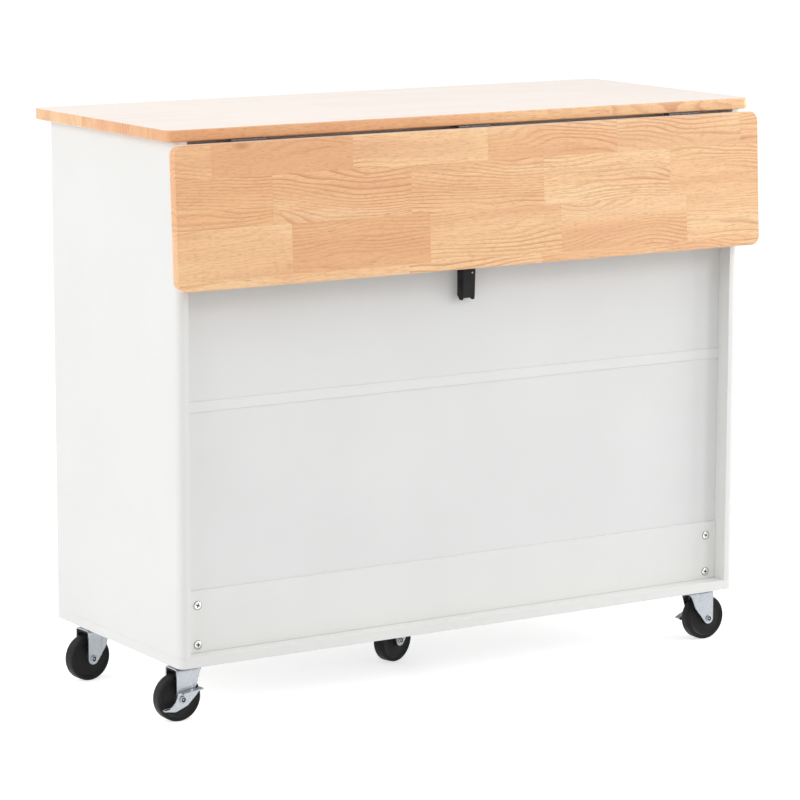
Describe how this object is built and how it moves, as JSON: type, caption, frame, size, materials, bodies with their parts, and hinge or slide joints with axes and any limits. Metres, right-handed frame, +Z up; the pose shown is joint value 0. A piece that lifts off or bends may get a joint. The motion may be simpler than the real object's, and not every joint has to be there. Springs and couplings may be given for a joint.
{
  "type": "drop leaf kitchen island",
  "caption": "White board kitchen island on swivel casters, with a solid wood countertop, a hanging drop leaf on hinges over a folding steel bracket, doors and drawers.",
  "frame": {"origin": "on the floor, under the middle of the island's bounding box", "axes": "+X along the island's length, to the right as seen facing the leaf side; +Y from the leaf side to the door side; +Z up"},
  "size_m": [1.091, 0.4776, 0.92],
  "materials": {
    "white_board": "satin white laminate on board",
    "white_panel": "thin fibreboard back panel with a white face",
    "wood": "satin lacquered solid wood, glued staves along the length",
    "zinc": "bright zinc plated stamped steel",
    "nickel": "brushed nickel",
    "black_steel": "satin black powder coat",
    "black_rubber": "matte black moulded wheel",
    "runner_plastic": "white drawer runner"
  },
  "bodies": {
    "cabinet": {"bottom_board": "white_board", "left_side_panel": "white_board", "right_side_panel": "white_board", "center_divider": "white_board", "top_rear_stretcher": "white_board", "top_front_stretcher": "white_board", "back_bottom_rail": "white_board", "back_joiner_strip": "white_board", "left_shelf": "white_board", "right_shelf": "white_board", "lower_back_panel": "white_panel", "upper_back_panel": "white_panel", "countertop": "wood", "left_hinge_top_plate": "zinc", "center_hinge_top_plate": "zinc", "right_hinge_top_plate": "zinc", "bracket_channel": "black_steel", "rear_left_caster_plate": "zinc", "rear_right_caster_plate": "zinc", "front_left_caster_plate": "zinc", "front_right_caster_plate": "zinc", "center_caster_plate": "zinc", "left_door_upper_hinge": "zinc", "left_door_lower_hinge": "zinc", "right_door_upper_hinge": "zinc", "right_door_lower_hinge": "zinc", "left_drawer_outer_runner": "runner_plastic", "left_drawer_inner_runner": "runner_plastic", "right_drawer_inner_runner": "runner_plastic", "right_drawer_outer_runner": "runner_plastic"},
    "leaf": {"drop_leaf": "wood", "left_hinge_leaf_plate": "zinc", "center_hinge_leaf_plate": "zinc", "right_hinge_leaf_plate": "zinc"},
    "support_arm": {"bracket_arm": "black_steel"},
    "support_strut": {"bracket_strut": "black_steel"},
    "left_door": {"left_door": "white_board", "left_door_handle": "nickel"},
    "right_door": {"right_door": "white_board", "right_door_handle": "nickel"},
    "left_drawer": {"left_drawer_box": "white_board", "left_drawer_front": "white_board", "left_drawer_handle": "nickel"},
    "right_drawer": {"right_drawer_box": "white_board", "right_drawer_front": "white_board", "right_drawer_handle": "nickel"},
    "rear_left_fork": {"rear_left_caster_fork": "zinc"},
    "rear_right_fork": {"rear_right_caster_fork": "zinc"},
    "front_left_fork": {"front_left_caster_fork": "zinc"},
    "front_right_fork": {"front_right_caster_fork": "zinc"},
    "center_fork": {"center_caster_fork": "zinc"},
    "rear_left_wheel": {"rear_left_caster_wheel": "black_rubber"},
    "rear_right_wheel": {"rear_right_caster_wheel": "black_rubber"},
    "front_left_wheel": {"front_left_caster_wheel": "black_rubber"},
    "front_right_wheel": {"front_right_caster_wheel": "black_rubber"},
    "center_wheel": {"center_caster_wheel": "black_rubber"},
    "rear_left_lever": {"rear_left_brake_lever": "zinc"},
    "rear_right_lever": {"rear_right_brake_lever": "zinc"}
  },
  "joints": [
    {"name": "leaf_hinge", "type": "hinge", "parent": "cabinet", "child": "leaf", "pos_m": [0, -0.2069, 0.8995], "axis": [-1, 0, 0], "range_deg": [0, 87]},
    {"name": "arm_pivot", "type": "hinge", "parent": "cabinet", "child": "support_arm", "pos_m": [0.002, -0.18865, 0.887], "axis": [-1, 0, 0], "range_deg": [0, 85.18]},
    {"name": "strut_pivot", "type": "hinge", "parent": "support_arm", "child": "support_strut", "pos_m": [0.002, -0.19471, 0.81526], "axis": [1, 0, 0], "range_deg": [0, 130]},
    {"name": "left_door_hinge", "type": "hinge", "parent": "cabinet", "child": "left_door", "pos_m": [-0.51, 0.20865, 0.4225], "axis": [0, 0, 1], "range_deg": [0, 105]},
    {"name": "right_door_hinge", "type": "hinge", "parent": "cabinet", "child": "right_door", "pos_m": [0.51, 0.20865, 0.4225], "axis": [0, 0, -1], "range_deg": [0, 105]},
    {"name": "left_drawer_slide", "type": "slide", "parent": "cabinet", "child": "left_drawer", "axis": [0, 1, 0], "range_m": [0, 0.25]},
    {"name": "right_drawer_slide", "type": "slide", "parent": "cabinet", "child": "right_drawer", "axis": [0, 1, 0], "range_m": [0, 0.25]},
    {"name": "rear_left_swivel", "type": "hinge", "parent": "cabinet", "child": "rear_left_fork", "pos_m": [-0.4835, -0.15015, 0.088], "axis": [0, 0, 1], "continuous": true},
    {"name": "rear_right_swivel", "type": "hinge", "parent": "cabinet", "child": "rear_right_fork", "pos_m": [0.4835, -0.15015, 0.088], "axis": [0, 0, 1], "continuous": true},
    {"name": "front_left_swivel", "type": "hinge", "parent": "cabinet", "child": "front_left_fork", "pos_m": [-0.4835, 0.15185, 0.088], "axis": [0, 0, 1], "continuous": true},
    {"name": "front_right_swivel", "type": "hinge", "parent": "cabinet", "child": "front_right_fork", "pos_m": [0.4835, 0.15185, 0.088], "axis": [0, 0, 1], "continuous": true},
    {"name": "center_swivel", "type": "hinge", "parent": "cabinet", "child": "center_fork", "pos_m": [0, 0.00085, 0.088], "axis": [0, 0, 1], "continuous": true},
    {"name": "rear_left_axle", "type": "hinge", "parent": "rear_left_fork", "child": "rear_left_wheel", "pos_m": [-0.5075, -0.15015, 0.0375], "axis": [0, 1, 0], "continuous": true},
    {"name": "rear_right_axle", "type": "hinge", "parent": "rear_right_fork", "child": "rear_right_wheel", "pos_m": [0.5075, -0.15015, 0.0375], "axis": [0, 1, 0], "continuous": true},
    {"name": "front_left_axle", "type": "hinge", "parent": "front_left_fork", "child": "front_left_wheel", "pos_m": [-0.50732, 0.14892, 0.0375], "axis": [-0.1219, 0.9925, 0], "continuous": true},
    {"name": "front_right_axle", "type": "hinge", "parent": "front_right_fork", "child": "front_right_wheel", "pos_m": [0.5075, 0.15185, 0.0375], "axis": [0, 1, 0], "continuous": true},
    {"name": "center_axle", "type": "hinge", "parent": "center_fork", "child": "center_wheel", "pos_m": [-0.02295, -0.00617, 0.0375], "axis": [-0.2924, 0.9563, 0], "continuous": true},
    {"name": "rear_left_brake", "type": "hinge", "parent": "rear_left_fork", "child": "rear_left_lever", "pos_m": [-0.5075, -0.15015, 0.0375], "axis": [0, 1, 0], "range_deg": [0, 33]},
    {"name": "rear_right_brake", "type": "hinge", "parent": "rear_right_fork", "child": "rear_right_lever", "pos_m": [0.5075, -0.15015, 0.0375], "axis": [0, 1, 0], "range_deg": [0, 33]}
  ],
  "couplings": [
    {"joint": "arm_pivot", "follows": "leaf_hinge", "ratio": 0.97897},
    {"joint": "strut_pivot", "follows": "leaf_hinge", "ratio": 1.4942}
  ]
}
